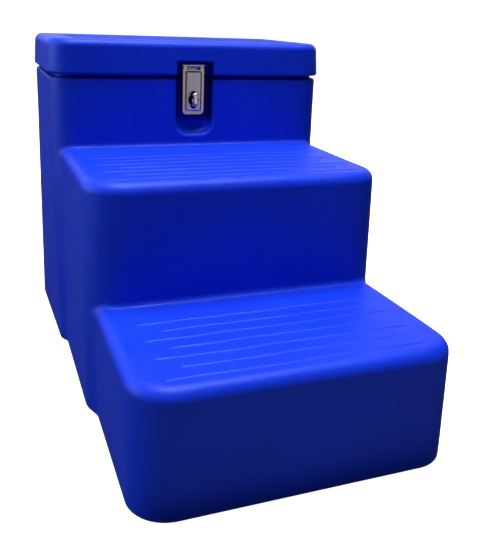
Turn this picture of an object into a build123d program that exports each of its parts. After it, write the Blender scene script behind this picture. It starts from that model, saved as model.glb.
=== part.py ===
import os

from build123d import *

# A three-step mounting block: a hollow moulded body whose top step is a hinged lid over a storage box.
# Millimetres. +X is to the right seen from the front, +Y to the back, +Z up.
# The origin is on the floor, under the middle of the whole object.

# Driving dimensions of the mouldings
overall_height = 600.0
rear_width = 556.0
middle_width = 520.0
front_width = 494.0
tread_1_depth = 275.0
tread_2_depth = 309.0
rear_depth = 324.0
step_1_height = 192.0
step_2_height = 394.0
shoulder_height = 527.0
wall = 6.0
step_corner_radius = 64.0
rear_corner_radius = 38.0
tread_edge_radius = 20.0
shoulder_edge_radius = 4.0

# Underside: a raised floor inside a foot ring
foot_width = 30.0
floor_rise = 8.0
floor_top = floor_rise + wall

# Grip ribs
rib_width = 5.0
rib_height = 1.5
rib_count = 7
rib_pitch = 29.2
first_rib_offset = 32.0
rib_length_1 = 402.0
rib_length_2 = 448.0
rib_length_3 = 476.0
short_rib_setback = 29.0

# Neck round the storage mouth
neck_inset = 14.0
neck_height = 42.0
neck_top = shoulder_height + neck_height

# Lid
lid_gap = 6.5
lid_overhang = 1.5
lid_flare = 3.7
lid_draft = 3.6
lid_edge_radius = 14.0
lid_rim_radius = 2.0
lid_bottom = shoulder_height + lid_gap
lid_deck = overall_height - rib_height
lid_width = rear_width + 2 * lid_flare
lid_depth = rear_depth + lid_flare + lid_overhang
lid_top_width = lid_width - 2 * lid_draft
lid_top_depth = lid_depth - lid_draft
lid_corner_radius = rear_corner_radius + lid_overhang
neck_clearance = 5.0
rest_gap = 0.3
pocket_top = neck_top + rest_gap
hollow_inset = 12.0
hollow_edge_radius = 8.0
hollow_bottom = pocket_top + wall
hollow_top = lid_deck - wall
kiss_off_radius = 14.0
kiss_off_spacing_x = 150.0
kiss_off_spacing_y = 130.0
vent_radius = 4.0
vent_flange_radius = 7.0
vent_flange_thickness = 1.2
vent_x = 75.0

# Latch recess in the body and the notch above it in the lid
recess_half_width = 37.5
recess_depth = 24.0
recess_bottom = 418.0
recess_corner_radius = 24.0
recess_floor_radius = 14.0
notch_top = 560.0
dent_depth = 41.0
bump_half_width = recess_half_width + wall
bump_depth = recess_depth + wall
dent_half_width = bump_half_width + dent_depth - bump_depth

# Rear hinges
hinge_offset = 7.0
barrel_radius = 4.5
hinge_x = 170.0
hinge_width = 60.0
hinge_middle_width = 22.0
knuckle_gap = 0.3
hinge_leaf_height = 33.0
hinge_leaf_thickness = 2.0
hinge_leaf_start = 5.2
hinge_leaf_corner = 4.0
pin_radius = 2.5
running_clearance = 0.05
pin_head_radius = 3.6
pin_head_thickness = 1.5
hinge_screw_x = 19.0
hinge_screw_drop = 24.0

# M5 fasteners
screw_radius = 2.5
screw_hole_radius = 2.7
screw_head_radius = 4.6
screw_head_height = 2.4
washer_radius = 5.5
washer_thickness = 1.0
nut_radius = 4.6
nut_height = 4.0
thread_clearance = 0.02
screw_tail = 1.5
insert_radius = 4.0
insert_length = 8.0

# Hasp, measured in depth behind the riser face
hasp_width = 43.0
hasp_thickness = 2.0
hasp_barrel_radius = 5.5
hasp_face_depth = 12.6
hasp_bottom = 455.0
hasp_corner_radius = 8.0
hasp_pin_height = 551.5
hasp_pin_depth = hasp_face_depth + hasp_barrel_radius
hasp_middle_width = 28.0
hasp_window_bottom = 543.2
hasp_leaf_bottom = 536.5
hasp_screw_x = 13.0
hasp_screw_height = 541.5
panel_width = 34.0
panel_bottom = 461.0
panel_top = 541.0
panel_height = 1.8
panel_corner_radius = 4.0
panel_taper = 60.0
slot_width = 12.0
slot_bottom = 466.0
slot_top = 502.0
slot_bulge_radius = 11.0

# Turning staple, with its axis along Y
staple_height = 485.0
staple_shank_radius = 4.5
staple_bore_radius = staple_shank_radius + running_clearance
staple_hole_radius = 6.0
staple_plate_width = 40.0
staple_plate_height = 56.0
staple_plate_thickness = 2.0
staple_plate_corner = 5.0
staple_boss_radius = 9.0
staple_boss_height = 4.0
staple_screw_x = 14.0
staple_screw_z = 21.0
bow_thickness = 9.0
bow_height = 28.0
bow_back_depth = 10.0
bow_front_depth = -6.0
bow_edge_radius = 2.0
eye_radius = 5.0
eye_depth = 1.5
thrust_washer_radius = 10.0
thrust_washer_thickness = 1.5
clip_radius = 7.5
clip_thickness = 1.5
clip_play = 0.3
groove_radius = 3.75
groove_clearance = 0.1
shank_end_depth = 37.0

# Positions along Y, with the hinge barrels as the rearmost point
body_depth = tread_1_depth + tread_2_depth + rear_depth
overall_depth = body_depth + hinge_offset + barrel_radius
front_y = -overall_depth / 2
riser_2_y = front_y + tread_1_depth
riser_3_y = riser_2_y + tread_2_depth
back_y = front_y + body_depth
rear_middle_y = (riser_3_y + back_y) / 2
lid_rim_y = back_y + lid_overhang - lid_depth / 2
lid_top_y = back_y + lid_overhang - lid_top_depth / 2
hinge_axis_y = back_y + hinge_offset
hinge_axis_z = (shoulder_height + lid_bottom) / 2
step_overlap = 90.0


def facing_front(x, depth, z):
    """A plane whose normal points to the front, at a depth behind the upper riser."""
    return Plane(origin=(x, riser_3_y + depth, z), x_dir=(1, 0, 0), z_dir=(0, -1, 0))


def facing_back(x, y, z):
    """A plane whose normal points to the back."""
    return Plane(origin=(x, y, z), x_dir=(-1, 0, 0), z_dir=(0, 1, 0))


def facing_right(x, y, z):
    """A plane whose normal points to the right, with its own x axis along +Y."""
    return Plane(origin=(x, y, z), x_dir=(0, 1, 0), z_dir=(1, 0, 0))


def step_block(width, near_y, far_y, low_z, high_z, corner_radius, edge_radius):
    """One step: a box with rounded front corners and rounded top edges."""
    with BuildPart() as block:
        with BuildSketch(Plane(origin=(0, (near_y + far_y) / 2, low_z))) as plan:
            Rectangle(width, far_y - near_y)
            fillet(plan.vertices().group_by(Axis.Y)[0], corner_radius)
        extrude(amount=high_z - low_z)
        fillet(block.faces().sort_by(Axis.Z)[-1].edges(), edge_radius)
    return block.part


def rear_block(inset, low_z, high_z):
    """A slab with the plan of the rear box, drawn in by an inset on every side."""
    with BuildPart() as block:
        with BuildSketch(Plane(origin=(0, rear_middle_y, low_z))):
            RectangleRounded(rear_width - 2 * inset, rear_depth - 2 * inset, rear_corner_radius - inset)
        extrude(amount=high_z - low_z)
    return block.part


def front_box(half_width, depth_range, height_range):
    """A box centred on X, given by its depth range behind the upper riser and its height range."""
    near, far = depth_range
    low, high = height_range
    with BuildPart() as block:
        with BuildSketch(Plane(origin=(0, riser_3_y + (near + far) / 2, low))):
            Rectangle(2 * half_width, far - near)
        extrude(amount=high - low)
    return block.part


def neck_block(inset, dent_wall, low_z, high_z):
    """The neck's plan, drawn in by an inset, with its front dented round the latch."""
    with BuildPart() as block:
        add(rear_block(inset, low_z, high_z))
        dent_range = (0, dent_depth + dent_wall)
        add(front_box(dent_half_width + dent_wall, dent_range, (low_z, high_z)), mode=Mode.SUBTRACT)
    return block.part


def grip_ribs(near_y, deck_z, long_length):
    """Raised ribs across a tread, long and short in turn."""
    with BuildPart() as ribs:
        for index in range(rib_count):
            setback = short_rib_setback * (index % 2)
            with BuildSketch(Plane(origin=(0, near_y + first_rib_offset + index * rib_pitch, deck_z))):
                SlotOverall(long_length - 2 * setback, rib_width)
            extrude(amount=rib_height)
    return ribs.part


def latch_cutter(top_z, depth_start):
    """The U-shaped latch recess, from in front of the riser to its back wall."""
    height = top_z - recess_bottom
    with BuildPart() as cutter:
        with BuildSketch(facing_front(0, recess_depth, recess_bottom + height / 2)) as outline:
            Rectangle(2 * recess_half_width, height)
            fillet(outline.vertices().group_by(Axis.Z)[0], recess_corner_radius)
        extrude(amount=recess_depth - depth_start)
        fillet(cutter.faces().sort_by(Axis.Y)[-1].edges(), recess_floor_radius)
    return cutter.part


def drill(places, radius, depth):
    """Round cutters that start at each place and run against its normal."""
    with BuildPart() as cutters:
        for place in places:
            with BuildSketch(place):
                Circle(radius)
            extrude(amount=-depth)
    return cutters.part


def screws(places, length):
    """Pan-head screws, with the underside of each head on its place."""
    with BuildPart() as group:
        for place in places:
            with BuildSketch(place):
                Circle(screw_head_radius)
            extrude(amount=screw_head_height)
            with BuildSketch(place):
                Circle(screw_radius)
            extrude(amount=-length)
    return group.part


def rings(places, outer_radius, inner_radius, thickness):
    """Washers or inserts that run from each place against its normal."""
    with BuildPart() as group:
        for place in places:
            with BuildSketch(place):
                Circle(outer_radius)
                Circle(inner_radius, mode=Mode.SUBTRACT)
            extrude(amount=-thickness)
    return group.part


def nuts(places):
    """Hexagon nuts that run from each place against its normal."""
    with BuildPart() as group:
        for place in places:
            with BuildSketch(place):
                RegularPolygon(nut_radius, 6)
                Circle(screw_radius + thread_clearance, mode=Mode.SUBTRACT)
            extrude(amount=-nut_height)
    return group.part


def save(part, name):
    """Label a finished piece and write its file."""
    part.label = name
    export_step(part, f"parts/{name}.step")


def moved_in(places, distance):
    """The same places, moved against their normals."""
    return [place.offset(-distance) for place in places]


os.makedirs("parts", exist_ok=True)

# Fastener places
hinge_sides = {"left": -hinge_x, "right": hinge_x}
leaf_offsets = [-hinge_screw_x, hinge_screw_x]
body_leaf_z = hinge_axis_z - hinge_screw_drop
lid_leaf_z = hinge_axis_z + hinge_screw_drop
body_hinge_places = []
lid_hinge_places = []
for side_x in hinge_sides.values():
    for offset_x in leaf_offsets:
        body_hinge_places.append(facing_back(side_x + offset_x, back_y, body_leaf_z))
        lid_hinge_places.append(facing_back(side_x + offset_x, back_y + lid_overhang, lid_leaf_z))
staple_places = []
for offset_x in (-staple_screw_x, staple_screw_x):
    for offset_z in (-staple_screw_z, staple_screw_z):
        staple_places.append(facing_front(offset_x, recess_depth, staple_height + offset_z))
hasp_leaf_places = [facing_front(x, recess_depth, hasp_screw_height) for x in (-hasp_screw_x, hasp_screw_x)]
staple_axis_place = facing_front(0, recess_depth, staple_height)

# Body moulding
with BuildPart() as body_shell:
    add(rear_block(0, 0, shoulder_height))
    fillet(body_shell.faces().sort_by(Axis.Z)[-1].edges(), shoulder_edge_radius)
    add(
        step_block(
            middle_width,
            riser_2_y,
            riser_3_y + step_overlap,
            0,
            step_2_height,
            step_corner_radius,
            tread_edge_radius,
        )
    )
    add(
        step_block(
            front_width,
            front_y,
            riser_2_y + step_overlap,
            0,
            step_1_height,
            step_corner_radius,
            tread_edge_radius,
        )
    )
    add(neck_block(neck_inset, 0, shoulder_height, neck_top))
    add(grip_ribs(front_y, step_1_height, rib_length_1))
    add(grip_ribs(riser_2_y, step_2_height, rib_length_2))

# Storage space inside the body, with the back of the latch recess standing in it
with BuildPart() as storage_space:
    add(rear_block(wall, floor_top, shoulder_height - wall))
    add(
        step_block(
            middle_width - 2 * wall,
            riser_2_y + wall,
            riser_3_y + step_overlap,
            floor_top,
            step_2_height - wall,
            step_corner_radius - wall,
            tread_edge_radius - wall,
        )
    )
    add(
        step_block(
            front_width - 2 * wall,
            front_y + wall,
            riser_2_y + step_overlap,
            floor_top,
            step_1_height - wall,
            step_corner_radius - wall,
            tread_edge_radius - wall,
        )
    )
    add(
        front_box(bump_half_width, (0, bump_depth), (recess_bottom - wall, shoulder_height)),
        mode=Mode.SUBTRACT,
    )

# Underside hollow inside the foot ring
with BuildPart() as underside:
    add(rear_block(foot_width, 0, floor_rise))
    with BuildSketch(Plane(origin=(0, (riser_2_y + riser_3_y) / 2 + foot_width, 0))):
        Rectangle(middle_width - 2 * foot_width, tread_2_depth + foot_width)
    extrude(amount=floor_rise)
    with BuildSketch(Plane(origin=(0, (front_y + riser_2_y) / 2 + foot_width, 0))):
        RectangleRounded(front_width - 2 * foot_width, tread_1_depth, foot_width)
    extrude(amount=floor_rise)

with body_shell:
    add(storage_space.part, mode=Mode.SUBTRACT)
    add(neck_block(neck_inset + wall, wall, shoulder_height - 2 * wall, neck_top), mode=Mode.SUBTRACT)
    add(underside.part, mode=Mode.SUBTRACT)
    add(latch_cutter(neck_top, -wall), mode=Mode.SUBTRACT)
    add(drill(staple_places, screw_hole_radius, wall), mode=Mode.SUBTRACT)
    add(drill([staple_axis_place], staple_hole_radius, wall), mode=Mode.SUBTRACT)
    add(drill(body_hinge_places, screw_hole_radius, wall), mode=Mode.SUBTRACT)
save(body_shell.part, "body_shell")

# Lid moulding: a hollow slab with a skirt that hangs round the neck, drafted on all sides but the back
with BuildPart() as lid_hollow:
    with BuildSketch(Plane(origin=(0, lid_top_y, hollow_bottom))):
        RectangleRounded(
            lid_top_width - 2 * hollow_inset,
            lid_top_depth - 2 * hollow_inset,
            lid_corner_radius - hollow_inset,
        )
    extrude(amount=hollow_top - hollow_bottom)
    fillet(lid_hollow.faces().sort_by(Axis.Z)[-1].edges(), hollow_edge_radius)
    with BuildSketch(Plane(origin=(0, rear_middle_y, hollow_bottom))):
        with GridLocations(kiss_off_spacing_x, kiss_off_spacing_y, 3, 2):
            Circle(kiss_off_radius)
    extrude(amount=hollow_top - hollow_bottom, mode=Mode.SUBTRACT)

with BuildPart() as lid_shell:
    with BuildSketch(Plane(origin=(0, lid_rim_y, lid_bottom))):
        RectangleRounded(lid_width, lid_depth, lid_corner_radius)
    with BuildSketch(Plane(origin=(0, lid_top_y, lid_deck))):
        RectangleRounded(lid_top_width, lid_top_depth, lid_corner_radius)
    loft(ruled=True)
    fillet(lid_shell.faces().sort_by(Axis.Z)[-1].edges(), lid_edge_radius)
    fillet(lid_shell.faces().sort_by(Axis.Z)[0].edges(), lid_rim_radius)
    add(grip_ribs(riser_3_y, lid_deck, rib_length_3))
    add(
        neck_block(
            neck_inset - neck_clearance,
            bump_depth - dent_depth,
            lid_bottom - lid_rim_radius,
            pocket_top,
        ),
        mode=Mode.SUBTRACT,
    )
    add(front_box(bump_half_width, (hollow_inset, bump_depth), (notch_top, hollow_bottom)))
    add(lid_hollow.part, mode=Mode.SUBTRACT)
    add(
        front_box(recess_half_width, (-wall, recess_depth), (lid_bottom - wall, notch_top)),
        mode=Mode.SUBTRACT,
    )
    add(drill([Plane(origin=(vent_x, rear_middle_y, hollow_bottom))], vent_radius, wall), mode=Mode.SUBTRACT)
    add(drill(hasp_leaf_places, screw_hole_radius, wall), mode=Mode.SUBTRACT)
    add(drill(lid_hinge_places, insert_radius, insert_length), mode=Mode.SUBTRACT)
save(lid_shell.part, "lid_shell")

with BuildPart() as lid_vent_plug:
    with BuildSketch(Plane(origin=(vent_x, rear_middle_y, pocket_top))):
        Circle(vent_radius)
    extrude(amount=wall)
    with BuildSketch(Plane(origin=(vent_x, rear_middle_y, pocket_top))):
        Circle(vent_flange_radius)
    extrude(amount=-vent_flange_thickness)
    fillet(lid_vent_plug.faces().sort_by(Axis.Z)[0].edges(), vent_flange_thickness / 2)
save(lid_vent_plug.part, "lid_vent_plug")


def barrel(centre_x, width, axis_y, axis_z, radius):
    """One knuckle of a hinge, solid, along X."""
    with BuildPart() as knuckle:
        with BuildSketch(facing_right(centre_x - width / 2, axis_y, axis_z)):
            Circle(radius)
        extrude(amount=width)
    return knuckle.part


def web(centre_x, width, near_y, far_y, low_z, high_z):
    """The bent strip that joins a knuckle to its leaf."""
    with BuildPart() as strip:
        with BuildSketch(facing_right(centre_x - width / 2, (near_y + far_y) / 2, (low_z + high_z) / 2)):
            Rectangle(far_y - near_y, high_z - low_z)
        extrude(amount=width)
    return strip.part


def pin_bore(centre_x, width, axis_y, axis_z, radius):
    """The cutter for a hinge pin's hole, along X."""
    return drill([facing_right(centre_x + width / 2, axis_y, axis_z)], radius, width)


def hinge_knuckle(centre_x, width, side, plate_y):
    """A rear hinge knuckle with its web: side is -1 below the axis and +1 above it."""
    web_reach = hinge_leaf_start + hinge_leaf_thickness
    heights = sorted((hinge_axis_z, hinge_axis_z + side * web_reach))
    with BuildPart() as knuckle:
        add(barrel(centre_x, width, hinge_axis_y, hinge_axis_z, barrel_radius))
        add(web(centre_x, width, plate_y, hinge_axis_y, *heights))
    return knuckle.part


def hinge_leaf(side_x, side, plate_y, places):
    """One leaf of a rear hinge: the body leaf has two outer knuckles, the lid leaf one in the middle."""
    outer_width = (hinge_width - hinge_middle_width) / 2 - knuckle_gap
    outer_x = (hinge_width - outer_width) / 2
    plate_z = hinge_axis_z + side * (hinge_leaf_start + hinge_leaf_height / 2)
    with BuildPart() as leaf:
        with BuildSketch(facing_back(side_x, plate_y, plate_z)) as outline:
            Rectangle(hinge_width, hinge_leaf_height)
            far_corners = outline.vertices().group_by(Axis.Z)[0 if side < 0 else -1]
            fillet(far_corners, hinge_leaf_corner)
        extrude(amount=hinge_leaf_thickness)
        if side < 0:
            add(hinge_knuckle(side_x - outer_x, outer_width, side, plate_y))
            add(hinge_knuckle(side_x + outer_x, outer_width, side, plate_y))
            bore = pin_radius + thread_clearance
        else:
            add(hinge_knuckle(side_x, hinge_middle_width, side, plate_y))
            bore = pin_radius + running_clearance
        add(pin_bore(side_x, hinge_width, hinge_axis_y, hinge_axis_z, bore), mode=Mode.SUBTRACT)
        heads = [place.offset(hinge_leaf_thickness) for place in places]
        add(drill(heads, screw_hole_radius, hinge_leaf_thickness), mode=Mode.SUBTRACT)
    return leaf.part


def headed_pin(centre_x, width, axis_y, axis_z):
    """A hinge pin with a low round head at each end."""
    with BuildPart() as pin:
        with BuildSketch(facing_right(centre_x - width / 2, axis_y, axis_z)):
            Circle(pin_radius)
        extrude(amount=width)
        for place in (
            facing_right(centre_x + width / 2, axis_y, axis_z),
            facing_right(centre_x - width / 2 - pin_head_thickness, axis_y, axis_z),
        ):
            with BuildSketch(place):
                Circle(pin_head_radius)
            extrude(amount=pin_head_thickness)
    return pin.part


# Rear hinges
for index, (side_name, side_x) in enumerate(hinge_sides.items()):
    near = index * len(leaf_offsets)
    side_places = slice(near, near + len(leaf_offsets))
    save(hinge_leaf(side_x, -1, back_y, body_hinge_places[side_places]), f"hinge_body_leaf_{side_name}")
    save(
        hinge_leaf(side_x, 1, back_y + lid_overhang, lid_hinge_places[side_places]),
        f"hinge_lid_leaf_{side_name}",
    )
    save(headed_pin(side_x, hinge_width, hinge_axis_y, hinge_axis_z), f"hinge_pin_{side_name}")

through_length = hinge_leaf_thickness + wall + washer_thickness + nut_height + screw_tail
body_hinge_heads = [place.offset(hinge_leaf_thickness) for place in body_hinge_places]
lid_hinge_heads = [place.offset(hinge_leaf_thickness) for place in lid_hinge_places]
bolt_bore = screw_radius + thread_clearance
save(screws(body_hinge_heads, through_length), "body_hinge_screws")
body_washer_places = moved_in(body_hinge_places, wall)
save(rings(body_washer_places, washer_radius, bolt_bore, washer_thickness), "body_hinge_washers")
save(nuts(moved_in(body_washer_places, washer_thickness)), "body_hinge_nuts")
save(screws(lid_hinge_heads, hinge_leaf_thickness + insert_length - screw_tail), "lid_hinge_screws")
save(rings(lid_hinge_places, insert_radius, bolt_bore, insert_length), "lid_hinge_inserts")

# Staple plate with its boss and fasteners
with BuildPart() as staple_plate:
    with BuildSketch(staple_axis_place):
        RectangleRounded(staple_plate_width, staple_plate_height, staple_plate_corner)
    extrude(amount=staple_plate_thickness)
    with BuildSketch(staple_axis_place.offset(staple_plate_thickness)):
        Circle(staple_boss_radius)
    extrude(amount=staple_boss_height)
    boss_reach = staple_plate_thickness + staple_boss_height
    add(drill([staple_axis_place.offset(boss_reach)], staple_bore_radius, boss_reach), mode=Mode.SUBTRACT)
    staple_heads = [place.offset(staple_plate_thickness) for place in staple_places]
    add(drill(staple_heads, screw_hole_radius, staple_plate_thickness), mode=Mode.SUBTRACT)
save(staple_plate.part, "staple_plate")
save(screws(staple_heads, through_length), "staple_plate_screws")
staple_washer_places = moved_in(staple_places, wall)
save(rings(staple_washer_places, washer_radius, bolt_bore, washer_thickness), "staple_plate_washers")
save(nuts(moved_in(staple_washer_places, washer_thickness)), "staple_plate_nuts")

# Turning staple: a bow with a padlock eye on a shank that a clip holds behind the wall
washer_depth = recess_depth + wall
clip_depth = washer_depth + thrust_washer_thickness + clip_play
with BuildPart() as turning_staple:
    bow_reach = bow_back_depth - bow_front_depth
    bow_middle = riser_3_y + (bow_back_depth + bow_front_depth) / 2
    with BuildSketch(facing_right(-bow_thickness / 2, bow_middle, staple_height)) as bow_outline:
        Rectangle(bow_reach, bow_height)
        fillet(bow_outline.vertices().group_by(Axis.Y)[0], bow_reach / 2)
        fillet(bow_outline.vertices().group_by(Axis.Y)[-1], staple_shank_radius)
    extrude(amount=bow_thickness)
    fillet(turning_staple.faces().filter_by(Axis.X).edges(), bow_edge_radius)
    with BuildSketch(facing_front(0, bow_back_depth - staple_shank_radius, staple_height)):
        Circle(staple_shank_radius)
    extrude(amount=bow_back_depth - staple_shank_radius - shank_end_depth)
    groove_start = facing_front(0, clip_depth - groove_clearance, staple_height)
    with BuildSketch(groove_start):
        Circle(staple_shank_radius)
        Circle(groove_radius, mode=Mode.SUBTRACT)
    extrude(amount=-clip_thickness - 2 * groove_clearance, mode=Mode.SUBTRACT)
    eye_place = facing_right(bow_thickness / 2, riser_3_y + eye_depth, staple_height)
    add(drill([eye_place], eye_radius, bow_thickness), mode=Mode.SUBTRACT)
save(turning_staple.part, "turning_staple")

washer_place = facing_front(0, washer_depth, staple_height)
clip_place = facing_front(0, clip_depth, staple_height)
thrust_bore = staple_shank_radius + 2 * groove_clearance
clip_bore = groove_radius + thread_clearance
thrust_washer = rings([washer_place], thrust_washer_radius, thrust_bore, thrust_washer_thickness)
save(thrust_washer, "staple_thrust_washer")
save(rings([clip_place], clip_radius, clip_bore, clip_thickness), "staple_clip")

# Hasp: fixed leaf, pin and hinged leaf
hasp_axis_y = riser_3_y + hasp_pin_depth
hasp_outer_width = (hasp_width - hasp_middle_width) / 2 - knuckle_gap
hasp_outer_x = (hasp_width - hasp_outer_width) / 2
with BuildPart() as hasp_fixed_leaf:
    leaf_middle_z = (hasp_leaf_bottom + hasp_pin_height) / 2
    leaf_height = hasp_pin_height - hasp_leaf_bottom
    with BuildSketch(facing_front(0, recess_depth, leaf_middle_z)):
        Rectangle(hasp_width, leaf_height)
    extrude(amount=hinge_leaf_thickness)
    clear_middle_z = hasp_pin_height - hasp_barrel_radius / 2
    for side in (-1, 1):
        with BuildSketch(facing_front(side * hasp_outer_x, recess_depth, clear_middle_z)):
            Rectangle(hasp_outer_width + 2 * knuckle_gap, 2 * hasp_barrel_radius)
        extrude(amount=hinge_leaf_thickness, mode=Mode.SUBTRACT)
    add(barrel(0, hasp_middle_width, hasp_axis_y, hasp_pin_height, hasp_barrel_radius))
    held_bore = pin_radius + thread_clearance
    add(pin_bore(0, hasp_width, hasp_axis_y, hasp_pin_height, held_bore), mode=Mode.SUBTRACT)
    hasp_leaf_heads = [place.offset(hinge_leaf_thickness) for place in hasp_leaf_places]
    add(drill(hasp_leaf_heads, screw_hole_radius, hinge_leaf_thickness), mode=Mode.SUBTRACT)
save(hasp_fixed_leaf.part, "hasp_fixed_leaf")
save(headed_pin(0, hasp_width, hasp_axis_y, hasp_pin_height), "hasp_pin")
save(screws(hasp_leaf_heads, through_length), "hasp_leaf_screws")
hasp_washer_places = moved_in(hasp_leaf_places, wall)
save(rings(hasp_washer_places, washer_radius, bolt_bore, washer_thickness), "hasp_leaf_washers")
save(nuts(moved_in(hasp_washer_places, washer_thickness)), "hasp_leaf_nuts")

with BuildPart() as hasp_leaf:
    leaf_middle_z = (hasp_bottom + hasp_pin_height) / 2
    with BuildSketch(facing_front(0, hasp_face_depth + hasp_thickness, leaf_middle_z)) as leaf_outline:
        Rectangle(hasp_width, hasp_pin_height - hasp_bottom)
        fillet(leaf_outline.vertices().group_by(Axis.Z)[0], hasp_corner_radius)
    extrude(amount=hasp_thickness)
    with BuildSketch(facing_front(0, hasp_face_depth, (panel_bottom + panel_top) / 2)):
        RectangleRounded(panel_width, panel_top - panel_bottom, panel_corner_radius)
    extrude(amount=panel_height, taper=panel_taper)
    for side in (-1, 1):
        add(barrel(side * hasp_outer_x, hasp_outer_width, hasp_axis_y, hasp_pin_height, hasp_barrel_radius))
    with BuildSketch(Plane(origin=(0, hasp_axis_y, hasp_window_bottom))):
        Rectangle(hasp_middle_width + 2 * knuckle_gap, 4 * hasp_barrel_radius)
    extrude(amount=3 * hasp_barrel_radius, mode=Mode.SUBTRACT)
    hasp_bore = pin_radius + running_clearance
    add(pin_bore(0, hasp_width, hasp_axis_y, hasp_pin_height, hasp_bore), mode=Mode.SUBTRACT)
    slot_height = slot_top - slot_bottom
    with BuildSketch(facing_front(0, hasp_face_depth - panel_height, (slot_top + slot_bottom) / 2)):
        SlotOverall(slot_height, slot_width, rotation=90)
        Circle(slot_bulge_radius)
    extrude(amount=-panel_height - hasp_thickness, mode=Mode.SUBTRACT)
save(hasp_leaf.part, "hasp_leaf")
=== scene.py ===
import math

import bpy
import numpy as np
from mathutils import Matrix, Vector


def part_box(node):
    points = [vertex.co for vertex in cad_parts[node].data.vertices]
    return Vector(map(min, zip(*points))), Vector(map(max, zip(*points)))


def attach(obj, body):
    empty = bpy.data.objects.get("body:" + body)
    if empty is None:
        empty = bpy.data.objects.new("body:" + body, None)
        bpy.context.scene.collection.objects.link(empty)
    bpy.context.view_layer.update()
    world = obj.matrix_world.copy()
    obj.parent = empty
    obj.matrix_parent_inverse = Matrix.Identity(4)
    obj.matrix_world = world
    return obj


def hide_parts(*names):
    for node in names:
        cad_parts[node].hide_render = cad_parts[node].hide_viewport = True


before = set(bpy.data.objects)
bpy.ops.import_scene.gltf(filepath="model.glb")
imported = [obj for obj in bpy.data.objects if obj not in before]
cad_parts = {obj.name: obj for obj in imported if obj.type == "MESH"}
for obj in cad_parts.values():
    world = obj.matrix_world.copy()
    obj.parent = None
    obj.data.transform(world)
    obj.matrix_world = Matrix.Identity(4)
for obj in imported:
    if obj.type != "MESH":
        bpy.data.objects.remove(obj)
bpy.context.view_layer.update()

# ---------------------------------------------------------------------------
# Sizes, in metres. The mouldings' places come from the CAD nodes they replace.
# ---------------------------------------------------------------------------
MM = 0.001
BODY_LOW, BODY_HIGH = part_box("body_shell")
LID_LOW, LID_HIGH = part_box("lid_shell")
PLATE_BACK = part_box("staple_plate")[1].y
HASP_LOW, HASP_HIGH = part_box("hasp_leaf")

# The steps: half widths and heights from the lowest to the top one
WALL = 6 * MM
STEP_HALF_WIDTHS = (247 * MM, 260 * MM, 278 * MM)
STEP_HEIGHTS = (192 * MM, 394 * MM, 527 * MM)
FIRST_TREAD_DEPTH = 275 * MM
RECESS_DEPTH = 24 * MM
FRONT = BODY_LOW.y
BACK = BODY_HIGH.y
RISER_2 = FRONT + FIRST_TREAD_DEPTH
RISER_3 = PLATE_BACK - RECESS_DEPTH
STEP_OVERLAP = 90 * MM

# Upright corners, which are tighter at the base than above
STEP_CORNER = 64 * MM
STEP_BASE_CORNERS = (60 * MM, 54 * MM)
REAR_CORNER = 38 * MM
BASE_CORNER = 20 * MM
SHOULDER_CORNER = 50 * MM
BASE_TAPER = 8 * MM
BASE_STRAIGHT = 30 * MM
BACK_STRAIGHT = 50 * MM

# The slow unevenness of the walls
SWAY_HEIGHT = 0.35 * MM

# Level edges and inner corners
TREAD_EDGE = 20 * MM
SHOULDER_EDGE = 5 * MM
BASE_EDGE = 4 * MM
INNER_FILLET = 9 * MM

# The floor of the storage space and the foot ring
FLOOR_TOP = 14 * MM
FLOOR_FILLET = 6 * MM
FOOT_WIDTH = 30 * MM
FOOT_RISE = 8 * MM
FOOT_EDGE = 3 * MM
FOOT_HOLLOW_EDGE = 4 * MM

# The neck inside the lid's skirt, with its dent behind the latch
NECK_INSET = 14 * MM
NECK_TOP = BODY_HIGH.z
NECK_START = 500 * MM
NECK_SPARE = 20 * MM
NECK_FILLET = 3 * MM
NECK_EDGE = 2 * MM
MOUTH_START = 490 * MM
DENT_DEPTH = 41 * MM
DENT_HALF_WIDTH = 54.5 * MM
DENT_CORNER = 4 * MM

# The latch recess in the body and the notch in the lid above it
RECESS_HALF_WIDTH = 37.5 * MM
RECESS_BOTTOM = 418 * MM
RECESS_CORNER = 24 * MM
RECESS_HOLLOW = 12 * MM
RECESS_RIM = 7 * MM
NOTCH_TOP = 560 * MM
NOTCH_FILLET = 3 * MM
NOTCH_RIM = 2.5 * MM

# The boxes of the recess's painted shade, a darker tint of the plastic in the latch recess, and of the hasp
# panel's painted reflection, a greyer tint of the steel
RECESS_PAINTED_SHADE_LOW = (-RECESS_HALF_WIDTH - 1 * MM, RISER_3 + 4 * MM, RECESS_BOTTOM + 20 * MM)
RECESS_PAINTED_SHADE_HIGH = (RECESS_HALF_WIDTH + 1 * MM, RISER_3 + 30 * MM, NOTCH_TOP + 6 * MM)
RECESS_PAINTED_SHADE_SOFT = (1 * MM, 8 * MM, 10 * MM)
PANEL_TOP = 541 * MM
PANEL_REFLECTION_LOW = (HASP_LOW.x + 7 * MM, HASP_LOW.y - 1 * MM, HASP_LOW.z + 8 * MM)
PANEL_REFLECTION_HIGH = (HASP_HIGH.x - 7 * MM, HASP_HIGH.y + 1 * MM, PANEL_TOP)
PANEL_REFLECTION_SOFT = (1.5 * MM, 0.5 * MM, 1.5 * MM)

# The lid, and the pocket in it that takes the neck
RIB_HEIGHT = 1.5 * MM
LID_DECK = LID_HIGH.z - RIB_HEIGHT
LID_EDGE = 14 * MM
LID_DRAFT = 3.6 * MM
LID_RIM = 5 * MM
POCKET_CLEARANCE = 5 * MM
POCKET_TOP = NECK_TOP + 0.3 * MM
POCKET_FILLET = 5 * MM
SKIRT_EDGE = 2 * MM
SKIRT_BUMP = 30 * MM


# ---------------------------------------------------------------------------
# Distance fields: negative inside, in metres
# ---------------------------------------------------------------------------
def rounded_union(a, b, radius):
    """Union with a fillet of that radius in the inner corner."""
    reach = np.hypot(np.maximum(radius - a, 0), np.maximum(radius - b, 0))
    return np.maximum(radius, np.minimum(a, b)) - reach


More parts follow.
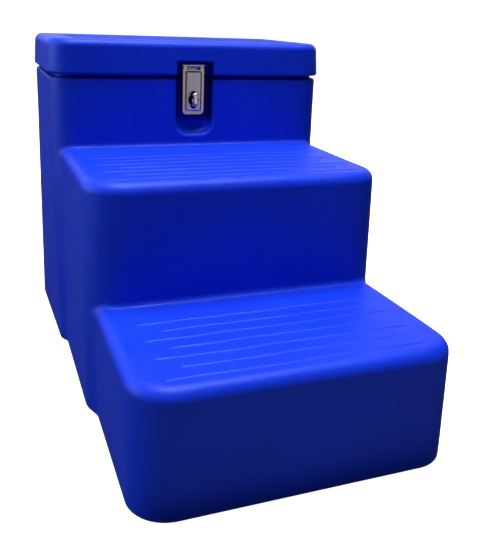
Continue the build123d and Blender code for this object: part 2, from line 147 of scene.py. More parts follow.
def rounded_overlap(a, b, radius):
    """Intersection with a round edge of that radius."""
    return -rounded_union(-a, -b, radius)


def round_corner(across, along, corner):
    """Distance to a round corner, from the distances past its centre along two axes."""
    outside = np.hypot(np.maximum(across, 0), np.maximum(along, 0))
    return outside + np.minimum(np.maximum(across, along), 0) - corner


def plan_distance(x, y, half_width, near, far, corner):
    """Distance to a rounded rectangle in plan."""
    across = np.abs(x) - half_width + corner
    along = np.abs(y - (near + far) / 2) - (far - near) / 2 + corner
    return round_corner(across, along, corner)


def climb(z, top):
    """From nought near the base to one at a tread's height."""
    return np.clip((z - BASE_STRAIGHT) / (top - BASE_STRAIGHT), 0, 1)


def rear_corner(y, z):
    """The rear box's corner radius: in front it widens from the base up, behind it is the same throughout."""
    front = BASE_CORNER + (SHOULDER_CORNER - BASE_CORNER) * climb(z, STEP_HEIGHTS[1])
    return np.where(y < (RISER_3 + BACK) / 2, front, REAR_CORNER)


def rear_outline(x, y, z):
    """The rear box in plan, a little narrower at the front of its base."""
    straight = BACK - BACK_STRAIGHT
    share = np.clip((straight - y) / (straight - RISER_3), 0, 1)
    half_width = STEP_HALF_WIDTHS[2] - BASE_TAPER * share * (1 - climb(z, STEP_HEIGHTS[1]))
    return plan_distance(x, y, half_width, RISER_3, BACK, rear_corner(y, z))


def step_outline(x, y, z, step, near, far):
    """One of the two lower boxes in plan, with tighter corners at its base."""
    base_corner = STEP_BASE_CORNERS[step]
    corner = base_corner + (STEP_CORNER - base_corner) * climb(z, STEP_HEIGHTS[step])
    return plan_distance(x, y, STEP_HALF_WIDTHS[step], near, far, corner)


def slab(plan, z, low, high, low_edge, high_edge):
    """A plan outline between two heights, with round lower and upper edges."""
    upper = rounded_overlap(plan, z - high, high_edge)
    return rounded_overlap(upper, low - z, low_edge)


def faded(distance, start, length):
    """Nought up to a start distance, rising to one over a length."""
    return np.clip((distance - start) / length, 0, 1)


def sway(x, y, z):
    """A moulded wall's slow unevenness, fading out near the floor, the latch, the lid seam and the back."""
    waves = (
        np.sin(13 * x + 9 * z + 1.1)
        + np.sin(17 * y - 11 * z + 0.4)
        + 0.8 * np.sin(21 * z + 6 * x - 8 * y + 2.3)
    )
    from_seam = faded(STEP_HEIGHTS[2] - z, 40 * MM, 80 * MM)
    from_back = faded(BACK - y, 20 * MM, 50 * MM)
    from_floor = faded(z, 0, 50 * MM)
    from_latch = faded(np.hypot(x, y - RISER_3), 50 * MM, 60 * MM)
    return SWAY_HEIGHT * waves * from_seam * from_back * from_floor * from_latch


def latch_recess(x, y, z):
    """The U-shaped recess in front of the staple plate, open at the top."""
    across = np.abs(x) - RECESS_HALF_WIDTH + RECESS_CORNER
    below = RECESS_BOTTOM + RECESS_CORNER - z
    outline = round_corner(across, below, RECESS_CORNER)
    return rounded_overlap(outline, y - RISER_3 - RECESS_DEPTH, RECESS_HOLLOW)


def outlines(x, y, z):
    """The three boxes in plan, from the lowest step to the top one."""
    return (
        step_outline(x, y, z, 0, FRONT, RISER_2 + STEP_OVERLAP),
        step_outline(x, y, z, 1, RISER_2, RISER_3 + STEP_OVERLAP),
        rear_outline(x, y, z),
    )


def body_outside(x, y, z):
    """The body's outer skin below the shoulder."""
    front_plan, middle_plan, rear_plan = outlines(x, y, z)
    front = slab(front_plan, z, 0, STEP_HEIGHTS[0], BASE_EDGE, TREAD_EDGE)
    middle = slab(middle_plan, z, 0, STEP_HEIGHTS[1], BASE_EDGE, TREAD_EDGE)
    rear = slab(rear_plan, z, 0, STEP_HEIGHTS[2], BASE_EDGE, SHOULDER_EDGE)
    steps = rounded_union(rounded_union(rear, middle, INNER_FILLET), front, INNER_FILLET)
    return rounded_overlap(steps + sway(x, y, z), -latch_recess(x, y, z), RECESS_RIM)


def neck_plan(x, y, inset, dent):
    """The neck's outline in plan, drawn in by an inset, with the dent behind the latch."""
    outline = plan_distance(
        x, y, STEP_HALF_WIDTHS[2] - inset, RISER_3 + inset, BACK - inset, REAR_CORNER - inset
    )
    dent_box = np.maximum(np.abs(x) - DENT_HALF_WIDTH - dent, y - RISER_3 - DENT_DEPTH - dent)
    return rounded_overlap(outline, -dent_box, DENT_CORNER)


def mouth_cut(x, y, z):
    """The way down through the neck."""
    return np.maximum(neck_plan(x, y, NECK_INSET + WALL, WALL), MOUTH_START - z)


def body_skin(x, y, z):
    """Outer surface of the body: steps, neck and the hollow under the base."""
    plan = neck_plan(x, y, NECK_INSET, 0)
    neck = slab(plan, z, NECK_START, NECK_TOP + NECK_SPARE, NECK_EDGE, NECK_EDGE)
    solid = rounded_union(body_outside(x, y, z), neck, NECK_FILLET)
    front_plan, middle_plan, rear_plan = outlines(x, y, z)
    foot_plan = np.minimum(np.minimum(rear_plan, middle_plan), front_plan) + FOOT_WIDTH
    foot_hollow = rounded_overlap(foot_plan, z - FOOT_RISE, FOOT_HOLLOW_EDGE)
    return rounded_overlap(solid, -foot_hollow, FOOT_EDGE)


def body_skin_open(x, y, z):
    """The body's outer surface with the mouth cut down through the neck."""
    topped = rounded_overlap(body_skin(x, y, z), z - NECK_TOP, NECK_EDGE)
    return rounded_overlap(topped, -mouth_cut(x, y, z), NECK_EDGE)


def body_hollow(x, y, z):
    """Inner surface of the body, seen from inside the storage space."""
    space = rounded_overlap(body_outside(x, y, z) + WALL, FLOOR_TOP - z, FLOOR_FILLET)
    return rounded_union(space, mouth_cut(x, y, z), NECK_FILLET)


def lid_skin(x, y, z):
    """The lid: deck, drafted skirt, latch notch and the pocket that takes the neck."""
    draft = LID_DRAFT * (z - LID_LOW.z) / (LID_DECK - LID_LOW.z)
    half_width = (LID_HIGH.x - LID_LOW.x) / 2 - draft
    plan = plan_distance(x, y, half_width, LID_LOW.y + draft, LID_HIGH.y, rear_corner(y, z))
    block = slab(plan, z, LID_LOW.z, LID_DECK, LID_RIM, LID_EDGE)
    pocket_plan = neck_plan(x, y, NECK_INSET - POCKET_CLEARANCE, SKIRT_BUMP - DENT_DEPTH)
    pocket = rounded_overlap(pocket_plan, z - POCKET_TOP, POCKET_FILLET)
    notch_plan = np.maximum(np.abs(x) - RECESS_HALF_WIDTH, y - RISER_3 - RECESS_DEPTH)
    notch = rounded_overlap(notch_plan, z - NOTCH_TOP, NOTCH_FILLET)
    return rounded_overlap(rounded_overlap(block, -pocket, SKIRT_EDGE), -notch, NOTCH_RIM)


# ---------------------------------------------------------------------------
# Meshing a distance field
# ---------------------------------------------------------------------------
GRADIENT_REACH = 0.2 * MM
SMALLEST_SLOPE = 0.05
LONGEST_MOVE = 2 * MM
TINY = 1e-12


def spaced(start, *spans):
    """Grid lines from start through spans of (end, step)."""
    lines = [start]
    for end, step in spans:
        count = max(1, round((end - lines[-1]) / step))
        lines.extend(np.linspace(lines[-1], end, count + 1)[1:])
    return np.array(lines)


def mirrored(lines):
    """Grid lines on both sides of zero."""
    return np.concatenate([-lines[::-1], lines[1:]])


def crossing_points(values, lines, axis):
    """Where the surface crosses the grid edges along one axis, and a mask of the edges it crosses."""
    low = np.take(values, range(values.shape[axis] - 1), axis)
    high = np.take(values, range(1, values.shape[axis]), axis)
    crossed = (low < 0) != (high < 0)
    share = np.where(crossed, low / np.where(crossed, low - high, 1), 0)
    points = np.empty(low.shape + (3,))
    for other in range(3):
        shape = [1, 1, 1]
        shape[other] = -1
        line = lines[other][:-1] if other == axis else lines[other]
        points[..., other] = line.reshape(shape)
    step_shape = [1, 1, 1]
    step_shape[axis] = -1
    points[..., axis] += share * np.diff(lines[axis]).reshape(step_shape)
    return points, crossed, low < 0


def surface_net(field, lines):
    """Vertices and quads over a field's zero surface: one vertex for each grid cell that it crosses."""
    x, y, z = lines
    shape = (len(x), len(y), len(z))
    values = np.broadcast_to(field(x[:, None, None], y[None, :, None], z[None, None, :]), shape)
    cells = tuple(size - 1 for size in shape)
    total = np.zeros(cells + (3,))
    count = np.zeros(cells)
    edges = []
    for axis in range(3):
        points, crossed, low_inside = crossing_points(values, lines, axis)
        edges.append((crossed, low_inside))
        sides = [other for other in range(3) if other != axis]
        for first in (0, 1):
            for second in (0, 1):
                pick = [slice(None)] * 3
                pick[sides[0]] = slice(first, first + cells[sides[0]])
                pick[sides[1]] = slice(second, second + cells[sides[1]])
                hit = crossed[tuple(pick)]
                total += np.where(hit[..., None], points[tuple(pick)], 0)
                count += hit
    used = count > 0
    index = np.full(cells, -1)
    index[used] = np.arange(used.sum())
    vertices = total[used] / count[used][:, None]
    quads = []
    for axis in range(3):
        crossed, low_inside = edges[axis]
        sides = [other for other in range(3) if other != axis]
        inner = [slice(None)] * 3
        inner[sides[0]] = slice(1, -1)
        inner[sides[1]] = slice(1, -1)
        at = np.argwhere(crossed[tuple(inner)])
        flip = low_inside[tuple(inner)][crossed[tuple(inner)]] ^ (axis == 1)
        corners = []
        for first, second in ((0, 0), (1, 0), (1, 1), (0, 1)):
            cell = at.copy()
            cell[:, sides[0]] += first
            cell[:, sides[1]] += second
            corners.append(index[tuple(cell.T)])
        ring = np.stack(corners, 1)
        quads.append(np.where(flip[:, None], ring, ring[:, ::-1]))
    return vertices, np.concatenate(quads)


def gradient(field, points):
    """The field's gradient at points."""
    slopes = []
    for axis in range(3):
        step = np.zeros(3)
        step[axis] = GRADIENT_REACH
        ahead = points + step
        behind = points - step
        slopes.append((field(*ahead.T) - field(*behind.T)) / (2 * GRADIENT_REACH))
    return np.stack(slopes, 1)


def fitted(field, points, rounds=4):
    """Points moved onto the zero surface, with the surface normals there."""
    for _ in range(rounds):
        slope = gradient(field, points)
        size = np.maximum((slope ** 2).sum(1), SMALLEST_SLOPE)
        move = np.clip(field(*points.T), -LONGEST_MOVE, LONGEST_MOVE) / size
        points = points - slope * move[:, None]
    slope = gradient(field, points)
    return points, slope / np.maximum(np.linalg.norm(slope, axis=1, keepdims=True), TINY)


def field_mesh(field, lines, keep=None):
    """A field's surface as points, normals and quads, without the quads that keep turns down."""
    points, quads = surface_net(field, lines)
    points, normals = fitted(field, points)
    if keep is not None:
        quads = quads[keep(points)[quads].all(1)]
    return points, normals, quads


def strip_mesh(grid):
    """A grid of points as points, normals and quads."""
    rows, columns = grid.shape[:2]
    across = np.gradient(grid, axis=1)
    along = np.gradient(grid, axis=0)
    normals = np.cross(along, across)
    normals /= np.maximum(np.linalg.norm(normals, axis=2, keepdims=True), TINY)
    if normals[rows // 2, columns // 2, 2] < 0:
        normals = -normals
    number = np.arange(rows * columns).reshape(rows, columns)
    ring = [number[:-1, :-1], number[1:, :-1], number[1:, 1:], number[:-1, 1:]]
    quads = np.stack(ring, -1).reshape(-1, 4)
    face_up = np.cross(grid[1, 0] - grid[0, 0], grid[0, 1] - grid[0, 0])[2] > 0
    if not face_up:
        quads = quads[:, ::-1]
    return grid.reshape(-1, 3), normals.reshape(-1, 3), quads


def joined(*parts):
    """Several point, normal and quad sets as one."""
    points = np.concatenate([part[0] for part in parts])
    normals = np.concatenate([part[1] for part in parts])
    starts = np.cumsum([0] + [len(part[0]) for part in parts[:-1]])
    quads = np.concatenate([part[2] + start for part, start in zip(parts, starts)])
    return points, normals, quads


def mesh_object(name, parts, material):
    """A smooth-shaded object from points, normals and quads."""
    points, normals, quads = joined(*parts)
    used, quads = np.unique(quads, return_inverse=True)
    quads = quads.reshape(-1, 4)
    points = points[used]
    normals = normals[used]
    mesh = bpy.data.meshes.new(name)
    mesh.vertices.add(len(points))
    mesh.vertices.foreach_set("co", points.astype(np.float32).ravel())
    mesh.loops.add(quads.size)
    mesh.loops.foreach_set("vertex_index", quads.astype(np.int32).ravel())
    mesh.polygons.add(len(quads))
    mesh.polygons.foreach_set("loop_start", np.arange(0, quads.size, 4, dtype=np.int32))
    mesh.update(calc_edges=True)
    mesh.validate()
    mesh.shade_smooth()
    mesh.normals_split_custom_set_from_vertices(normals.astype(np.float32))
    mesh.materials.append(material)
    piece = bpy.data.objects.new(name, mesh)
    bpy.context.scene.collection.objects.link(piece)
    return piece


# ---------------------------------------------------------------------------
# Grip ribs
# ---------------------------------------------------------------------------
RIB_LENGTHS = (402 * MM, 448 * MM, 476 * MM)
RIB_COUNT = 7
SHORT_RIB_SETBACK = 29 * MM
FIRST_RIB_OFFSET = 32 * MM
RIB_PITCH = 29.2 * MM
RIB_REACH = np.array([-4.0, -2.7, -1.7, -0.8, 0.0, 0.8, 1.7, 2.7, 4.0]) * MM
RIB_SPREAD = 1.75 * MM
RIB_TAPER = 9 * MM
RIB_SINK = 0.08 * MM
RIB_STATIONS = 72
LONG_WAVE = 0.9 * MM
SHORT_WAVE = 0.5 * MM
RIB_PHASE_STEP = 0.85


def rib(field, deck, middle_y, length, phase):
    """One raised wavy rib that follows the deck's surface."""
    x = np.linspace(-length / 2, length / 2, RIB_STATIONS)
    y = middle_y + LONG_WAVE * np.sin(34 * x + phase) + SHORT_WAVE * np.sin(71 * x + 2 * phase)
    base = np.stack([x, y, np.full_like(x, deck)], 1)
    base[:, 2] = fitted(field, base)[0][:, 2]
    end_fade = np.clip((length / 2 - np.abs(x)) / RIB_TAPER, 0, 1)
    swell = np.sin(end_fade * math.pi / 2) * (1 + 0.08 * np.sin(53 * x + 3 * phase))
    ridge = np.exp(-((RIB_REACH / RIB_SPREAD) ** 2)) * RIB_HEIGHT
    grid = np.repeat(base[:, None, :], len(RIB_REACH), 1)
    grid[..., 1] += RIB_REACH
    grid[..., 2] += swell[:, None] * ridge - RIB_SINK
    return strip_mesh(grid)


def ribs(field, deck, near, long_length):
    """Seven ribs across a tread, long and short in turn."""
    found = []
    for index in range(RIB_COUNT):
        middle_y = near + FIRST_RIB_OFFSET + index * RIB_PITCH
        length = long_length - 2 * SHORT_RIB_SETBACK * (index % 2)
        found.append(rib(field, deck, middle_y, length, RIB_PHASE_STEP * index + deck))
    return found


# ---------------------------------------------------------------------------
# Materials
# ---------------------------------------------------------------------------
MIX_FIRST_COLOUR, MIX_SECOND_COLOUR, MIX_COLOUR_RESULT = 6, 7, 2


class Nodes:
    """A material with a Principled shader, and short calls that add nodes to it."""

    def __init__(self, name):
        self.material = bpy.data.materials.new(name)
        self.material.use_nodes = True
        self.tree = self.material.node_tree
        self.shader = self.tree.nodes["Principled BSDF"]
        self.place = self.tree.nodes.new("ShaderNodeTexCoord").outputs["Object"]

    def set(self, **values):
        """Constants on the shader's own sockets."""
        for name, value in values.items():
            self.shader.inputs[name.replace("_", " ")].default_value = value

    def shade(self, **sources):
        """Node outputs linked to the shader's sockets."""
        for name, source in sources.items():
            self.link(source, self.shader.inputs[name.replace("_", " ")])

    def link(self, source, target):
        self.tree.links.new(source, target)

    def stretched(self, x, y, z):
        """Object coordinates scaled along each axis."""
        node = self.tree.nodes.new("ShaderNodeMapping")
        node.inputs["Scale"].default_value = (x, y, z)
        self.link(self.place, node.inputs["Vector"])
        return node.outputs["Vector"]

    def noise(self, scale, detail, roughness, place=None):
        """Noise of so many ripples per metre."""
        node = self.tree.nodes.new("ShaderNodeTexNoise")
        node.inputs["Scale"].default_value = scale
        node.inputs["Detail"].default_value = detail
        node.inputs["Roughness"].default_value = roughness
        self.link(place or self.place, node.inputs["Vector"])
        return node.outputs["Fac"]

    def ranged(self, source, low, high, to_low=0, to_high=1):
        """A source's span from low to high, mapped to another span."""
        node = self.tree.nodes.new("ShaderNodeMapRange")
        self.link(source, node.inputs["Value"])
        node.inputs["From Min"].default_value = low
        node.inputs["From Max"].default_value = high
        node.inputs["To Min"].default_value = to_low
        node.inputs["To Max"].default_value = to_high
        return node.outputs["Result"]

    def blend(self, factor, first, second):
        """A mix of two colours, each a tuple or a node's output."""
        node = self.tree.nodes.new("ShaderNodeMix")
        node.data_type = "RGBA"
        self.link(factor, node.inputs["Factor"])
        for index, value in ((MIX_FIRST_COLOUR, first), (MIX_SECOND_COLOUR, second)):
            socket = node.inputs[index]
            if isinstance(value, tuple):
                socket.default_value = (*value, 1)
            else:
                self.link(value, socket)
        return node.outputs[MIX_COLOUR_RESULT]

    def inside(self, low, high, soft):
        """One within a box in object coordinates, fading to nought towards its sides."""
        split = self.tree.nodes.new("ShaderNodeSeparateXYZ")
        self.link(self.place, split.inputs["Vector"])
        factor = None
        for axis in range(3):
            place = split.outputs[axis]
            rising = self.ranged(place, low[axis], low[axis] + soft[axis])
            falling = self.ranged(place, high[axis] - soft[axis], high[axis], 1, 0)
            both = self.product(rising, falling)
            factor = both if factor is None else self.product(factor, both)
        return factor

    def product(self, first, second):
        """Two values multiplied."""
        node = self.tree.nodes.new("ShaderNodeMath")
        node.operation = "MULTIPLY"
        self.link(first, node.inputs[0])
        self.link(second, node.inputs[1])
        return node.outputs[0]

    def bump(self, height, distance, strength, after=None):
        """A bump of a height in metres, on top of an earlier one."""
        node = self.tree.nodes.new("ShaderNodeBump")
        node.inputs["Distance"].default_value = distance
        node.inputs["Strength"].default_value = strength
        self.link(height, node.inputs["Height"])
        if after is not None:
            self.link(after, node.inputs["Normal"])
        return node.outputs["Normal"]


DEEP_BLUE = (0.001, 0.018, 0.52)
CLEAR_BLUE = (0.0015, 0.026, 0.60)
SCUFF_BLUE = (0.01, 0.05, 0.68)
SPECKLE_BLUE = (0.006, 0.050, 0.66)
# Painted shade: the deep blue that darkens the plastic inside the latch recess
RECESS_PAINTED_SHADE_BLUE = (0.0006, 0.004, 0.10)
BLUISH_GLOSS = (0.65, 0.9, 1.0, 1.0)
WARM_STEEL = (0.64, 0.51, 0.42)
# Painted reflection: the greyer tint on the hasp's panel
PANEL_PAINTED_REFLECTION = (0.46, 0.42, 0.47)
PLAIN_STEEL = (0.60, 0.58, 0.55)
# Painted shade: the staple plate is near black so the slot in front of it looks dark
PLATE_PAINTED_SHADE = (0.05, 0.055, 0.09)
BRIGHT_CHROME = (0.78, 0.77, 0.76)
YELLOW_BRASS = (0.72, 0.50, 0.22)
SOFT_BLACK = (0.012, 0.012, 0.013)
WORN_BLACK = (0.02, 0.02, 0.021)
STAGE_GREY = (0.80, 0.80, 0.80)
STAGE_WHITE = (0.83, 0.83, 0.83)
WHITE = (1, 1, 1, 1)


def darker(colour, share):
    """A colour at a share of its brightness."""
    return tuple(share * value for value in colour)


def polyethylene(name):
    """Rotationally moulded blue plastic: satin, finely grained, with faint flow marks and scuffs, and painted
    shade inside the latch recess.
    """
    nodes = Nodes(name)
    cloud = nodes.ranged(nodes.noise(7, 3, 0.55), 0.3, 0.7)
    colour = nodes.blend(cloud, DEEP_BLUE, CLEAR_BLUE)
    scuff_lines = nodes.noise(26, 6, 0.72, nodes.stretched(0.5, 3.0, 3.0))
    scuff_patches = nodes.noise(5, 2, 0.5)
    scuffs = nodes.product(
        nodes.ranged(scuff_lines, 0.63, 0.72, 0, 0.55), nodes.ranged(scuff_patches, 0.5, 0.65)
    )
    colour = nodes.blend(scuffs, colour, SCUFF_BLUE)
    speckle = nodes.ranged(nodes.noise(520, 2, 0.6), 0.38, 0.66, 0, 0.5)
    colour = nodes.blend(speckle, colour, SPECKLE_BLUE)
    # Painted shade: the plastic inside the latch recess is darkened towards a deep blue
    colour = nodes.blend(nodes.inside(RECESS_PAINTED_SHADE_LOW, RECESS_PAINTED_SHADE_HIGH, RECESS_PAINTED_SHADE_SOFT), colour, RECESS_PAINTED_SHADE_BLUE)
    gloss = nodes.ranged(nodes.noise(34, 4, 0.6), 0.3, 0.7, 0.42, 0.54)
    grain = nodes.bump(nodes.noise(950, 2, 0.6), 0.00016, 0.6)
    peel = nodes.bump(nodes.noise(430, 3, 0.6), 0.00022, 0.5, grain)
    flow = nodes.bump(nodes.noise(19, 2, 0.5), 0.0012, 0.35, peel)
    nodes.shade(Base_Color=colour, Roughness=gloss, Normal=flow)
    nodes.set(Specular_IOR_Level=0.22, Specular_Tint=BLUISH_GLOSS)
    return nodes.material


def brushed_steel(name, tint, direction, low_rough, high_rough, panel_painted_reflection=None):
    """Stainless sheet with a brushed grain along one axis and faint smudges; the hasp's panel may get a
    painted reflection, a greyer tint.
    """
    nodes = Nodes(name)
    scale = [900.0, 900.0, 900.0]
    scale[direction] = 14.0
    streaks = nodes.noise(1.0, 4, 0.7, nodes.stretched(*scale))
    smudge = nodes.ranged(nodes.noise(90, 4, 0.6), 0.35, 0.7)
    colour = nodes.blend(smudge, tint, darker(tint, 0.78))
    if panel_painted_reflection:
        # Painted reflection: the hasp's panel is tinted greyer, standing in for what the panel reflects
        colour = nodes.blend(nodes.inside(PANEL_REFLECTION_LOW, PANEL_REFLECTION_HIGH, PANEL_REFLECTION_SOFT), colour, panel_painted_reflection)
    rough = nodes.ranged(streaks, 0.3, 0.7, low_rough, high_rough)
    nodes.shade(Base_Color=colour, Roughness=rough, Normal=nodes.bump(streaks, 0.00005, 0.5))
    nodes.set(Metallic=1.0)
    return nodes.material


def cast_metal(name, tint, low_rough, high_rough):
    """Plain metal with fine grain, worn unevenly."""
    nodes = Nodes(name)
    wear = nodes.noise(160, 4, 0.6)
    colour = nodes.blend(nodes.ranged(wear, 0.3, 0.7), tint, darker(tint, 0.7))
    rough = nodes.ranged(wear, 0.3, 0.7, low_rough, high_rough)
    grain = nodes.bump(nodes.noise(1800, 2, 0.5), 0.00004, 0.4)
    nodes.shade(Base_Color=colour, Roughness=rough, Normal=grain)
    nodes.set(Metallic=1.0)
    return nodes.material


def black_plastic(name):
    """Soft black plastic of the vent plug."""
    nodes = Nodes(name)
    mottle = nodes.noise(300, 3, 0.6)
    colour = nodes.blend(nodes.ranged(mottle, 0.3, 0.7), SOFT_BLACK, WORN_BLACK)
    rough = nodes.ranged(mottle, 0.3, 0.7, 0.45, 0.6)
    nodes.shade(Base_Color=colour, Roughness=rough, Normal=nodes.bump(mottle, 0.0001, 0.4))
    return nodes.material


def studio_white(name, glow):
    """Matt white of the studio's floor and walls, with a trace of unevenness and a glow of its own."""
    nodes = Nodes(name)
    mottle = nodes.noise(3, 4, 0.6)
    colour = nodes.blend(nodes.ranged(mottle, 0.3, 0.7), STAGE_GREY, STAGE_WHITE)
    nodes.shade(Base_Color=colour, Roughness=nodes.ranged(mottle, 0.3, 0.7, 0.7, 0.85))
    nodes.set(Specular_IOR_Level=0.1, Emission_Color=WHITE, Emission_Strength=glow)
    return nodes.material


GRAIN_ACROSS, GRAIN_UPRIGHT = 0, 2
BLUE = polyethylene("blue_polyethylene")
SHEET_STEEL = brushed_steel("stainless_sheet", WARM_STEEL, GRAIN_UPRIGHT, 0.22, 0.36, PANEL_PAINTED_REFLECTION)
LEAF_STEEL = brushed_steel("stainless_hinge", PLAIN_STEEL, GRAIN_ACROSS, 0.24, 0.42)
FASTENER_STEEL = cast_metal("stainless_fasteners", PLAIN_STEEL, 0.25, 0.40)
CHROME = cast_metal("staple_chrome", BRIGHT_CHROME, 0.06, 0.16)
# Painted shade: a near black metal on the staple plate, so the hasp's slot looks dark
PLATE_SHADE_METAL = cast_metal("staple_plate_painted_shade", PLATE_PAINTED_SHADE, 0.35, 0.5)
BRASS = cast_metal("insert_brass", YELLOW_BRASS, 0.25, 0.40)
BLACK = black_plastic("plug_plastic")

NODE_MATERIALS = {
    "hasp_leaf": SHEET_STEEL,
    "hasp_fixed_leaf": SHEET_STEEL,
    "staple_plate": PLATE_SHADE_METAL,
    "turning_staple": CHROME,
    "lid_hinge_inserts": BRASS,
    "lid_vent_plug": BLACK,
}


def node_material(name):
    """The material of a CAD node that stays in view."""
    if name in NODE_MATERIALS:
        return NODE_MATERIALS[name]
    if name.startswith("hinge_") and "leaf" in name:
        return LEAF_STEEL
    return FASTENER_STEEL


# ---------------------------------------------------------------------------
# The mouldings
# ---------------------------------------------------------------------------
# Grid lines for meshing: close together where an edge or fillet lies, far apart on plain walls
FINE = 3.2 * MM
MIDDLING = 6.5 * MM
COARSE = 26 * MM
WIDTH_LINES = mirrored(
    spaced(0.0, (0.018, 0.009), (0.066, FINE), (0.184, 0.024), (0.238, MIDDLING), (0.286, FINE))
)
DEPTH_LINES = spaced(
    FRONT - 0.006,
    (FRONT + 0.030, FINE),
    (FRONT + 0.066, MIDDLING),
    (RISER_2 - 0.012, COARSE),
    (RISER_2 + 0.030, FINE),
    (RISER_2 + 0.066, MIDDLING),
    (RISER_3 - 0.012, COARSE),
    (RISER_3 + 0.066, FINE),
    (BACK - 0.040, COARSE),
    (BACK + 0.006, FINE),
)
HEIGHT_LINES = spaced(
    -0.003,
    (0.015, 1.8 * MM),
    (0.164, 0.024),
    (0.204, FINE),
    (0.364, COARSE),
    (0.454, FINE),
    (0.508, 0.009),
    (NECK_TOP + 0.006, 2.6 * MM),
)

INNER_STEP = 5 * MM
INNER_WIDTH_LINES = mirrored(
    spaced(0.0, (0.024, 0.012), (0.072, INNER_STEP), (0.184, 0.028), (0.236, 0.009), (0.278, INNER_STEP))
)
INNER_DEPTH_LINES = spaced(
    FRONT,
    (FRONT + 0.030, INNER_STEP),
    (FRONT + 0.066, 0.010),
    (RISER_2, 0.030),
    (RISER_2 + 0.030, INNER_STEP),
    (RISER_2 + 0.066, 0.010),
    (RISER_3, 0.030),
    (RISER_3 + 0.060, INNER_STEP),
    (BACK - 0.046, 0.030),
    (BACK, INNER_STEP),
)
INNER_HEIGHT_LINES = spaced(
    0.0,
    (0.030, INNER_STEP),
    (0.156, 0.030),
    (0.196, INNER_STEP),
    (0.360, 0.030),
    (0.440, INNER_STEP),
    (0.500, 0.012),
    (0.545, INNER_STEP),
)


# The outer skin has no floor in the mouth: the storage space's surface goes on from there
SEAM = STEP_HEIGHTS[2] + 4 * MM
SEAM_OVERLAP = 3 * MM
ABOVE_FOOT = 400 * MM
MOUTH_MARGIN = 2 * MM


def body_skin_kept(points):
    """Everything but the blind floor of the mouth."""
    x, y, z = points.T
    in_mouth = neck_plan(x, y, NECK_INSET + WALL, WALL) < MOUTH_MARGIN
    return ~(in_mouth & (z < SEAM) & (z > ABOVE_FOOT))


def below_seam(points):
    """The storage space's surface up to the neck."""
    return points[:, 2] < SEAM + SEAM_OVERLAP


def build_body():
    """The body moulding: outer skin, storage space and the ribs of two treads."""
    outer = field_mesh(body_skin_open, (WIDTH_LINES, DEPTH_LINES, HEIGHT_LINES), body_skin_kept)
    outer[0][:, 2] = np.maximum(outer[0][:, 2], 0)
    inner_lines = (INNER_WIDTH_LINES, INNER_DEPTH_LINES, INNER_HEIGHT_LINES)
    points, normals, quads = field_mesh(body_hollow, inner_lines, below_seam)
    inner = (points, -normals, quads[:, ::-1])
    treads = ribs(body_outside, STEP_HEIGHTS[0], FRONT, RIB_LENGTHS[0])
    treads += ribs(body_outside, STEP_HEIGHTS[1], RISER_2, RIB_LENGTHS[1])
    return mesh_object("body_moulding", [outer, inner, *treads], BLUE)


LID_FINE = 2.8 * MM
LID_COARSE = 25 * MM
LID_WIDTH_LINES = mirrored(
    spaced(0.0, (0.028, 0.009), (0.052, 2.4 * MM), (0.219, LID_COARSE), (0.287, LID_FINE))
)
LID_DEPTH_LINES = spaced(
    LID_LOW.y - 0.005,
    (RISER_3 + 0.066, LID_FINE),
    (BACK - 0.040, LID_COARSE),
    (LID_HIGH.y + 0.005, LID_FINE),
)
LID_HEIGHT_LINES = spaced(LID_LOW.z - 0.004, (LID_HIGH.z + 0.004, 2.5 * MM))


def build_lid():
    """The lid moulding with the ribs of the top tread."""
    skin = field_mesh(lid_skin, (LID_WIDTH_LINES, LID_DEPTH_LINES, LID_HEIGHT_LINES))
    treads = ribs(lid_skin, LID_DECK, RISER_3, RIB_LENGTHS[2])
    return mesh_object("lid_moulding", [skin, *treads], BLUE)


body_moulding = build_body()
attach(body_moulding, "block")
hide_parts("body_shell")
lid_moulding = build_lid()
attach(lid_moulding, "lid")
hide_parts("lid_shell")
for node_name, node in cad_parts.items():
    if node_name not in ("body_shell", "lid_shell"):
        for slot in node.material_slots:
            slot.material = node_material(node_name)


# ---------------------------------------------------------------------------
# Floor, backdrop, lights and camera
# ---------------------------------------------------------------------------
def plane(name, size, location, rotation, material):
    """A flat sheet of the stage, which the camera sees but diffuse and glossy rays pass through."""
    half_x = size[0] / 2
    half_y = size[1] / 2
    mesh = bpy.data.meshes.new(name)
    corners = [(-half_x, -half_y, 0), (half_x, -half_y, 0), (half_x, half_y, 0), (-half_x, half_y, 0)]
    mesh.from_pydata(corners, [], [(0, 1, 2, 3)])
    mesh.materials.append(material)
    sheet = bpy.data.objects.new(name, mesh)
    sheet.location = location
    sheet.rotation_euler = rotation
    sheet.visible_diffuse = False
    sheet.visible_glossy = False
    bpy.context.scene.collection.objects.link(sheet)
    return sheet


def area_light(name, size, location, target, power):
    """A soft rectangular light that faces a point."""
    lamp = bpy.data.lights.new(name, "AREA")
    lamp.shape = "RECTANGLE"
    lamp.size, lamp.size_y = size
    lamp.energy = power
    light = bpy.data.objects.new(name, lamp)
    light.location = location
    light.rotation_euler = (Vector(target) - Vector(location)).to_track_quat("-Z", "Y").to_euler()
    bpy.context.scene.collection.objects.link(light)
    return light


LEVEL = (0, 0, 0)
FACING_FRONT = (math.radians(90), 0, 0)
FACING_SIDE = (math.radians(90), 0, math.radians(90))
plane("floor", (30, 30), (0, 0, 0), LEVEL, studio_white("pale_floor", 0.95))
WALL_WHITE = studio_white("pale_backdrop", 1.0)
plane("backdrop_foot", (30, 1.6), (0, 7, 0.7), FACING_FRONT, WALL_WHITE)
plane("backdrop_front", (30, 12), (0, -9, 5.9), FACING_FRONT, WALL_WHITE)
plane("backdrop_left", (30, 12), (-9, 0, 5.9), FACING_SIDE, WALL_WHITE)
plane("backdrop_right", (30, 12), (9, 0, 5.9), FACING_SIDE, WALL_WHITE)

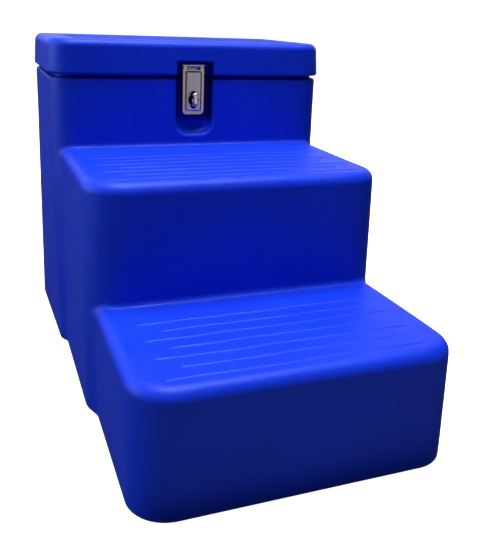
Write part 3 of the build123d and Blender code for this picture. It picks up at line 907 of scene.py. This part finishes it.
# The upper sheet behind the block stays in reflections, for the sheen on the treads
backdrop = plane("backdrop", (30, 9), (0, 7, 6.0), FACING_FRONT, WALL_WHITE)
backdrop.visible_glossy = True

area_light("overhead", (2.6, 2.4), (0, -0.25, 5), (0, -0.25, 0), power=440)
area_light("left_fill", (2.2, 2.2), (-3, 0.7, 1.2), (0, 0.1, 0.3), power=54)
rear_fill = area_light("rear_fill", (2.2, 2.2), (0.6, 4.2, 1.6), (0, BACK, 0.3), power=40)

# A low light that shines up in front stands in for the floor's bounce
BOUNCE_Y = FRONT - 0.84
front_bounce = area_light("front_bounce", (2.6, 1.6), (0, BOUNCE_Y, 0.01), (0, BOUNCE_Y, 1), power=5)
for light in (rear_fill, front_bounce):
    light.visible_camera = False
    light.visible_glossy = False

# A soft card in front that lights only the latch's steel
CARD_PLACE = (0.5, FRONT - 0.75, 0.35)
steel_card = area_light("steel_card", (1.6, 0.9), CARD_PLACE, (0, RISER_3, 0.5), power=2.2)
steel_card.visible_camera = False
latch_steel = bpy.data.collections.new("latch_steel")
for node_name in ("hasp_leaf", "hasp_fixed_leaf", "hasp_pin", "turning_staple"):
    latch_steel.objects.link(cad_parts[node_name])
steel_card.light_linking.receiver_collection = latch_steel

WORLD_STRENGTH = 0.06
world = bpy.data.worlds.new("studio")
world.use_nodes = True
background = world.node_tree.nodes["Background"]
background.inputs["Color"].default_value = WHITE
background.inputs["Strength"].default_value = WORLD_STRENGTH
bpy.context.scene.world = world
bpy.context.scene.view_settings.view_transform = "Standard"

CAMERA_PLACE = Vector((-0.405, FRONT - 0.763, 0.644))
CAMERA_YAW = math.radians(21.3)
CAMERA_PITCH = math.radians(14.4)
CAMERA_ROLL = math.radians(2.2)
CAMERA_LENS = 46.6
CAMERA_SHIFT = (-0.014, -0.132)


def add_camera():
    """The camera to the left of the front, looking down a little, with a slight roll."""
    ahead = Vector((math.sin(CAMERA_YAW), math.cos(CAMERA_YAW), -math.tan(CAMERA_PITCH))).normalized()
    right = ahead.cross(Vector((0, 0, 1))).normalized()
    up = right.cross(ahead)
    turned_right = right * math.cos(CAMERA_ROLL) + up * math.sin(CAMERA_ROLL)
    turned_up = up * math.cos(CAMERA_ROLL) - right * math.sin(CAMERA_ROLL)
    data = bpy.data.cameras.new("camera")
    data.lens = CAMERA_LENS
    data.shift_x, data.shift_y = CAMERA_SHIFT
    view = bpy.data.objects.new("camera", data)
    facing = Matrix((turned_right, turned_up, -ahead)).transposed().to_4x4()
    view.matrix_world = Matrix.Translation(CAMERA_PLACE) @ facing
    bpy.context.scene.collection.objects.link(view)
    bpy.context.scene.camera = view


add_camera()
